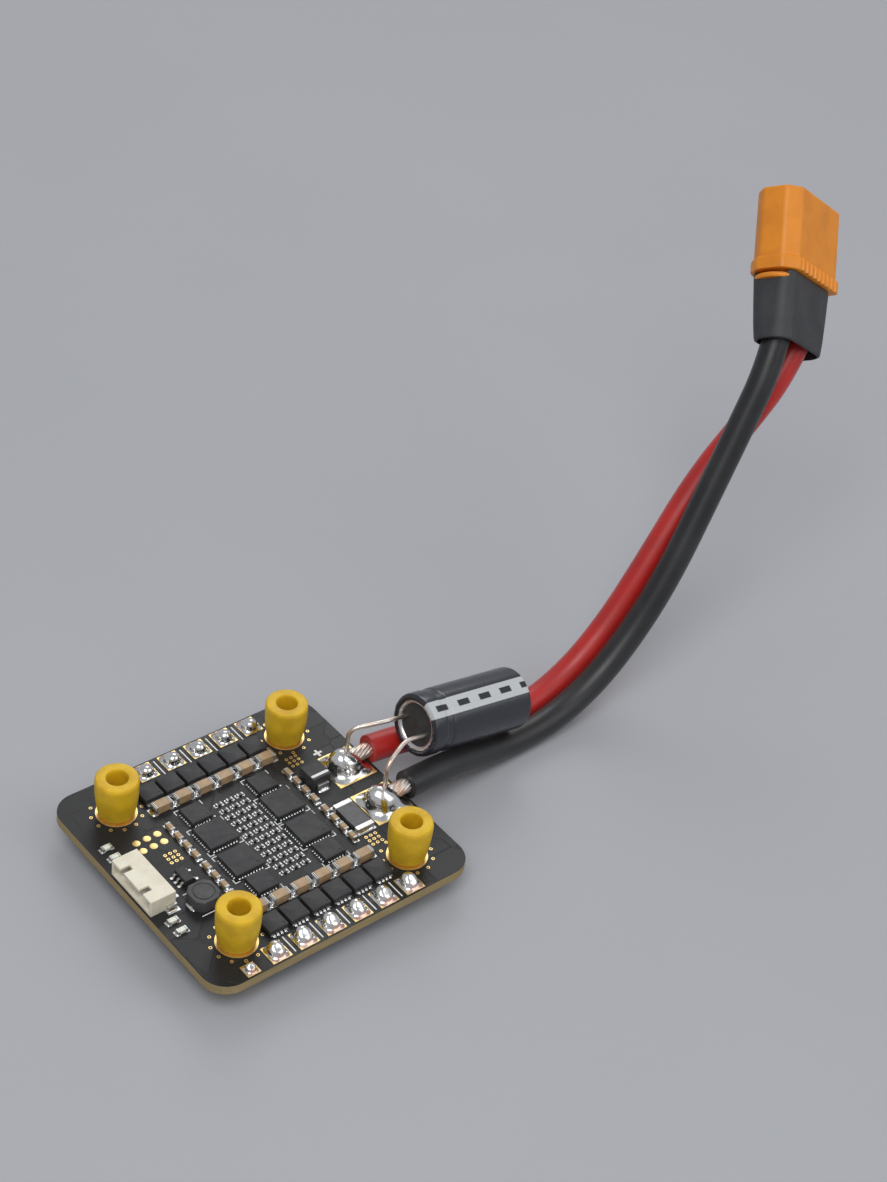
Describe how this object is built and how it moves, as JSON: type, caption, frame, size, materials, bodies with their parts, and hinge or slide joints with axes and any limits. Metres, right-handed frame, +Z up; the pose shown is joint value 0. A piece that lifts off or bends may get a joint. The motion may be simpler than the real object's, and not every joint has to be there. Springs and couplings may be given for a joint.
{
  "type": "electronic speed controller",
  "caption": "Square multi-motor speed controller board on rubber grommets, with edge solder joints, filter capacitor, battery lead and plug.",
  "frame": {"origin": "centre of the four mounting holes, on the lower faces of the grommets, where the controller rests", "axes": "+X to the front edge with the signal socket, +Y to the left edge, +Z up out of the component side"},
  "size_m": [0.1463, 0.0442, 0.0761],
  "materials": {
    "solder_mask": "satin black solder mask on glass-epoxy board",
    "rubber_yellow": "matt silicone rubber",
    "gold_plate": "flash gold on copper",
    "solder": "bright reflowed solder",
    "mould_compound": "fine matt epoxy mould",
    "tin_plate": "matt tin",
    "ferrite": "grey-black sintered ferrite",
    "capacitor_ceramic": "brown ceramic",
    "resistor_body": "black glaze",
    "light_lens": "milky resin",
    "socket_nylon": "cream nylon",
    "thermal_silicone": "soft grey-blue pad",
    "sink_aluminium": "black anodised",
    "can_aluminium": "drawn aluminium",
    "sleeve_film": "shrunk film",
    "seal_rubber": "black rubber",
    "winding_paper": "wound foil and paper",
    "wire_red": "soft silicone insulation",
    "wire_black": "soft silicone insulation",
    "tinned_copper": "tinned copper strands",
    "plug_nylon": "orange glass-filled nylon",
    "boot_plastic": "dark grey flexible plastic",
    "pin_gold": "gold-plated brass"
  },
  "bodies": {
    "root": {"auxiliary_pad": "gold_plate", "auxiliary_solder_joint": "solder", "battery_joint_negative": "solder", "battery_joint_positive": "solder", "battery_pads": "gold_plate", "battery_wire_negative": "wire_black", "battery_wire_positive": "wire_red", "board_end_strands_negative": "tinned_copper", "board_end_strands_positive": "tinned_copper", "bottom_transistor_frames": "tin_plate", "bottom_transistors": "mould_compound", "current_sense_amplifier": "mould_compound", "current_shunt": "resistor_body", "current_shunt_ends": "tin_plate", "filter_capacitor_can": "can_aluminium", "filter_capacitor_lead_negative": "tinned_copper", "filter_capacitor_lead_positive": "tinned_copper", "filter_capacitor_seal": "seal_rubber", "filter_capacitor_sleeve": "sleeve_film", "filter_capacitor_winding": "winding_paper", "gate_drivers": "mould_compound", "grommet_front_left": "rubber_yellow", "grommet_front_right": "rubber_yellow", "grommet_rear_left": "rubber_yellow", "grommet_rear_right": "rubber_yellow", "heat_sink": "sink_aluminium", "large_capacitors": "capacitor_ceramic", "large_capacitors_ends": "tin_plate", "main_board": "solder_mask", "motor_controllers": "mould_compound", "motor_pads": "gold_plate", "motor_solder_joints": "solder", "plug_boot": "boot_plastic", "plug_end_strands_negative": "tinned_copper", "plug_end_strands_positive": "tinned_copper", "plug_housing": "plug_nylon", "plug_pin_negative": "pin_gold", "plug_pin_positive": "pin_gold", "regulator_inductor": "ferrite", "signal_socket_anchors": "tin_plate", "signal_socket_contacts": "tin_plate", "signal_socket_shell": "socket_nylon", "small_capacitors": "capacitor_ceramic", "small_capacitors_ends": "tin_plate", "small_resistors": "resistor_body", "small_resistors_ends": "tin_plate", "status_lights": "light_lens", "status_lights_ends": "tin_plate", "surge_diode": "mould_compound", "surge_diode_tabs": "tin_plate", "thermal_pads": "thermal_silicone", "top_transistor_frames": "tin_plate", "top_transistors": "mould_compound", "voltage_regulator": "mould_compound"}
  },
  "joints": []
}
